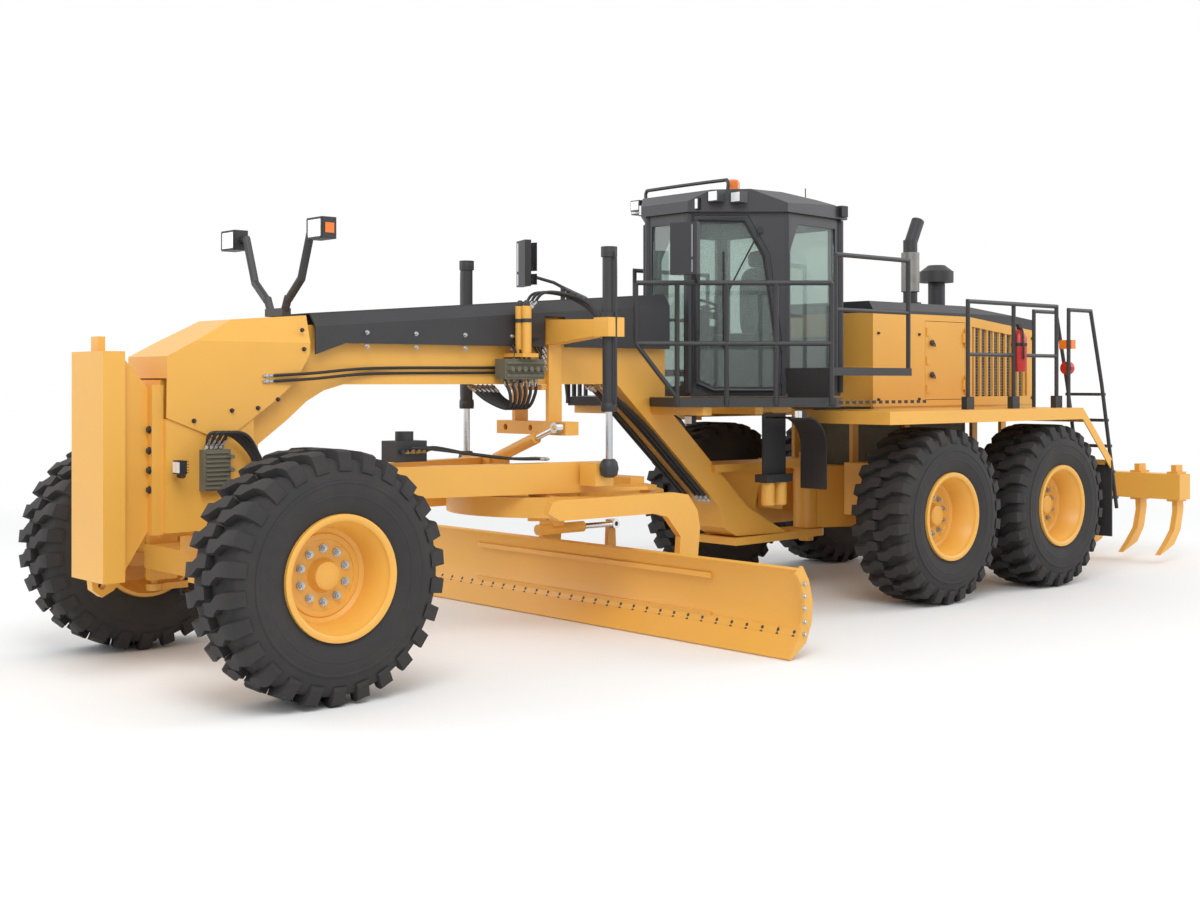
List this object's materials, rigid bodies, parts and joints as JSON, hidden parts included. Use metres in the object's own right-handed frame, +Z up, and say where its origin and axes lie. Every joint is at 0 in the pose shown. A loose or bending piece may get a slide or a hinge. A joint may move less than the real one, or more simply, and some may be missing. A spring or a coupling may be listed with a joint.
{
  "type": "motor_grader",
  "caption": "Motor grader: articulated frame on six lugged tyres, gooseneck beam, drawbar with turning circle and curved moldboard, cab, engine hood and rear ripper.",
  "frame": {"origin": "on the ground under the middle of the machine's length, on its centre plane", "axes": "+X forward, +Y to the machine's left, +Z up"},
  "size_m": [12.202, 4.91, 3.7409],
  "materials": {
    "yellow": "semi-gloss machine paint",
    "black": "satin machine paint",
    "glass": "clear, slightly green",
    "trim": "grained plastic and seat cloth",
    "chrome": "polished rod",
    "engine": "painted casting",
    "tyre": "dusty rubber"
  },
  "bodies": {
    "front_body": {"front_frame": "yellow", "push_block": "yellow", "nose_cover": "yellow", "beam_cover": "black", "lamp_mast": "black", "front_axle": "yellow", "blade_saddle": "yellow", "lift_barrels": "black", "hydraulics": "yellow", "cab_shell": "black", "cab_glass": "glass", "cab_roof": "black", "cab_interior": "trim", "cab_platforms": "black"},
    "rear_body": {"rear_frame": "yellow", "tandem_cases": "yellow", "engine_block": "engine", "hood_panels": "yellow", "hood_top": "black", "exhaust_intake": "black", "fenders": "yellow", "rear_rails": "black"},
    "cab_door_left": {"cab_door_left": "black", "door_glass_left": "glass"},
    "cab_door_right": {"cab_door_right": "black", "door_glass_right": "glass"},
    "knuckle_left": {"knuckle_left": "yellow"},
    "knuckle_right": {"knuckle_right": "yellow"},
    "tie_rod": {"tie_rod": "black"},
    "drawbar": {"drawbar": "yellow"},
    "circle": {"circle": "yellow"},
    "blade_carriage": {"blade_carriage": "yellow"},
    "moldboard": {"moldboard": "yellow"},
    "tip_rod": {"tip_rod": "chrome"},
    "lift_rod_left": {"lift_rod_left": "chrome"},
    "lift_rod_right": {"lift_rod_right": "chrome"},
    "centre_shift_barrel": {"centre_shift_barrel": "yellow"},
    "centre_shift_rod": {"centre_shift_rod": "chrome"},
    "engine_door_left": {"engine_door_left": "yellow"},
    "engine_door_right": {"engine_door_right": "yellow"},
    "ripper_arm": {"ripper_arm": "yellow"},
    "ripper_upper_link": {"ripper_upper_link": "yellow"},
    "ripper_beam": {"ripper_beam": "yellow"},
    "wheel_front_left": {"tyre_front_left": "tyre", "rim_front_left": "yellow"},
    "wheel_front_right": {"tyre_front_right": "tyre", "rim_front_right": "yellow"},
    "wheel_middle_left": {"tyre_middle_left": "tyre", "rim_middle_left": "yellow"},
    "wheel_middle_right": {"tyre_middle_right": "tyre", "rim_middle_right": "yellow"},
    "wheel_rear_left": {"tyre_rear_left": "tyre", "rim_rear_left": "yellow"},
    "wheel_rear_right": {"tyre_rear_right": "tyre", "rim_rear_right": "yellow"}
  },
  "joints": [
    {"name": "articulation", "type": "hinge", "parent": "front_body", "child": "rear_body", "pos_m": [-1.15, 0, 0.905], "axis": [0, 0, 1], "range_deg": [-20, 20]},
    {"name": "steer_left", "type": "hinge", "parent": "front_body", "child": "knuckle_left", "pos_m": [5.165, 1, 0.805], "axis": [0, 0, 1], "range_deg": [-47.5, 47.5]},
    {"name": "steer_right", "type": "hinge", "parent": "front_body", "child": "knuckle_right", "pos_m": [5.165, -1, 0.805], "axis": [0, 0, 1], "range_deg": [-47.5, 47.5]},
    {"name": "tie_rod_swing", "type": "hinge", "parent": "knuckle_left", "child": "tie_rod", "pos_m": [4.935, 1, 0.435], "axis": [0, 0, 1], "range_deg": [-47.5, 47.5]},
    {"name": "wheel_front_left_spin", "type": "hinge", "parent": "knuckle_left", "child": "wheel_front_left", "pos_m": [5.165, 1.3515, 0.805], "axis": [0, 1, 0], "continuous": true},
    {"name": "wheel_front_right_spin", "type": "hinge", "parent": "knuckle_right", "child": "wheel_front_right", "pos_m": [5.165, -1.3515, 0.805], "axis": [0, 1, 0], "continuous": true},
    {"name": "wheel_middle_left_spin", "type": "hinge", "parent": "rear_body", "child": "wheel_middle_left", "pos_m": [-1.2795, 1.3515, 0.805], "axis": [0, 1, 0], "continuous": true},
    {"name": "wheel_middle_right_spin", "type": "hinge", "parent": "rear_body", "child": "wheel_middle_right", "pos_m": [-1.2795, -1.3515, 0.805], "axis": [0, 1, 0], "continuous": true},
    {"name": "wheel_rear_left_spin", "type": "hinge", "parent": "rear_body", "child": "wheel_rear_left", "pos_m": [-3.1205, 1.3515, 0.805], "axis": [0, 1, 0], "continuous": true},
    {"name": "wheel_rear_right_spin", "type": "hinge", "parent": "rear_body", "child": "wheel_rear_right", "pos_m": [-3.1205, -1.3515, 0.805], "axis": [0, 1, 0], "continuous": true},
    {"name": "drawbar_lift", "type": "hinge", "parent": "front_body", "child": "drawbar", "pos_m": [4.72, 0, 1.26], "axis": [0, 1, 0], "range_deg": [-13, 5]},
    {"name": "circle_turn", "type": "hinge", "parent": "drawbar", "child": "circle", "pos_m": [2.07, 0, 1.045], "axis": [0, 0, 1], "range_deg": [-35, 35]},
    {"name": "blade_tip", "type": "hinge", "parent": "circle", "child": "blade_carriage", "pos_m": [1.415, 0, 0.35], "axis": [0, 1, 0], "range_deg": [-5, 40]},
    {"name": "blade_side_shift", "type": "slide", "parent": "blade_carriage", "child": "moldboard", "axis": [0, 1, 0], "range_m": [-0.74, 0.79]},
    {"name": "lift_rod_left_slide", "type": "slide", "parent": "front_body", "child": "lift_rod_left", "axis": [0, 0, 1], "range_m": [-0.545, 0.337]},
    {"name": "lift_rod_right_slide", "type": "slide", "parent": "front_body", "child": "lift_rod_right", "axis": [0, 0, 1], "range_m": [-0.545, 0.337]},
    {"name": "centre_shift_swing", "type": "hinge", "parent": "front_body", "child": "centre_shift_rod", "pos_m": [2.4, 0.41, 1.66], "axis": [1, 0, 0], "range_deg": [-11, 27.5]},
    {"name": "centre_shift_slide", "type": "slide", "parent": "centre_shift_rod", "child": "centre_shift_barrel", "axis": [0, -0.9442, -0.3294], "range_m": [-0.08, 0.206]},
    {"name": "tip_rod_slide", "type": "slide", "parent": "circle", "child": "tip_rod", "axis": [1, 0, 0], "range_m": [-0.04, 0.315]},
    {"name": "ripper_lift", "type": "hinge", "parent": "rear_body", "child": "ripper_arm", "pos_m": [-4.08, 0, 0.62], "axis": [0, 1, 0], "range_deg": [-22, 28]},
    {"name": "ripper_link_swing", "type": "hinge", "parent": "rear_body", "child": "ripper_upper_link", "pos_m": [-4.08, 0, 0.88], "axis": [0, 1, 0], "range_deg": [-22, 28]},
    {"name": "ripper_level", "type": "hinge", "parent": "ripper_arm", "child": "ripper_beam", "pos_m": [-5.7, 0, 0.76], "axis": [0, 1, 0], "range_deg": [-28, 22]},
    {"name": "cab_door_left_swing", "type": "hinge", "parent": "front_body", "child": "cab_door_left", "pos_m": [0.16306, 0.84134, 2.2], "axis": [0, 0, 1], "range_deg": [0, 50]},
    {"name": "cab_door_right_swing", "type": "hinge", "parent": "front_body", "child": "cab_door_right", "pos_m": [0.16306, -0.84134, 2.2], "axis": [0, 0, -1], "range_deg": [0, 50]},
    {"name": "engine_door_left_swing", "type": "hinge", "parent": "rear_body", "child": "engine_door_left", "pos_m": [-2.875, 0.666, 2.24], "axis": [0, 0, 1], "range_deg": [0, 80]},
    {"name": "engine_door_right_swing", "type": "hinge", "parent": "rear_body", "child": "engine_door_right", "pos_m": [-2.875, -0.666, 2.24], "axis": [0, 0, -1], "range_deg": [0, 80]}
  ],
  "couplings": [
    {"joint": "steer_right", "follows": "steer_left", "ratio": 1},
    {"joint": "tie_rod_swing", "follows": "steer_left", "ratio": -1},
    {"joint": "lift_rod_left_slide", "follows": "drawbar_lift", "m_per_rad": 2.4},
    {"joint": "lift_rod_right_slide", "follows": "drawbar_lift", "m_per_rad": 2.4},
    {"joint": "centre_shift_swing", "follows": "drawbar_lift", "ratio": -2.1},
    {"joint": "centre_shift_slide", "follows": "drawbar_lift", "m_per_rad": -0.9},
    {"joint": "tip_rod_slide", "follows": "blade_tip", "m_per_rad": 0.45},
    {"joint": "ripper_link_swing", "follows": "ripper_lift", "ratio": 1},
    {"joint": "ripper_level", "follows": "ripper_lift", "ratio": -1}
  ]
}
